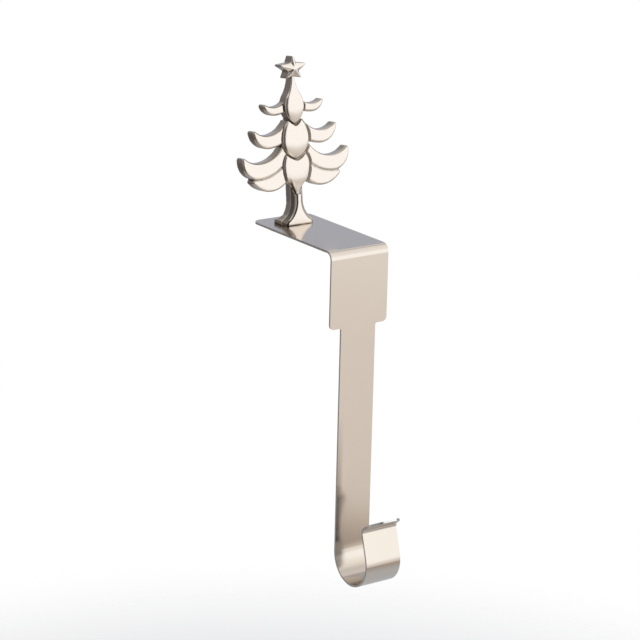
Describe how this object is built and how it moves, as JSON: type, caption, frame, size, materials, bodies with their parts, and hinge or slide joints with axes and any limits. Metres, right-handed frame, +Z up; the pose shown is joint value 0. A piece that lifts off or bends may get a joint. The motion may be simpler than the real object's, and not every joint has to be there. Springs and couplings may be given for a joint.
{
  "type": "mantel stocking holder",
  "caption": "Folded metal stocking holder: a plate rests on a mantel, a long flat arm hangs down the front to a broad rounded hook, and a cast fir tree with a star stands on the plate.",
  "frame": {"origin": "centre of the pad's underside, where the holder rests on the mantel", "axes": "+Z up, +X to the right seen from the room, +Y back to the wall"},
  "size_m": [0.0758, 0.1158, 0.2999],
  "materials": {
    "sheet_nickel": "nickel-plated sheet steel, softly polished",
    "cast_nickel": "nickel-plated casting, polished faces and darker hollows",
    "screw_steel": "zinc-plated steel",
    "pad_rubber": "matt black"
  },
  "bodies": {
    "root": {"bracket": "sheet_nickel", "tree_ornament": "cast_nickel", "fixing_screw": "screw_steel", "pad": "pad_rubber"}
  },
  "joints": []
}
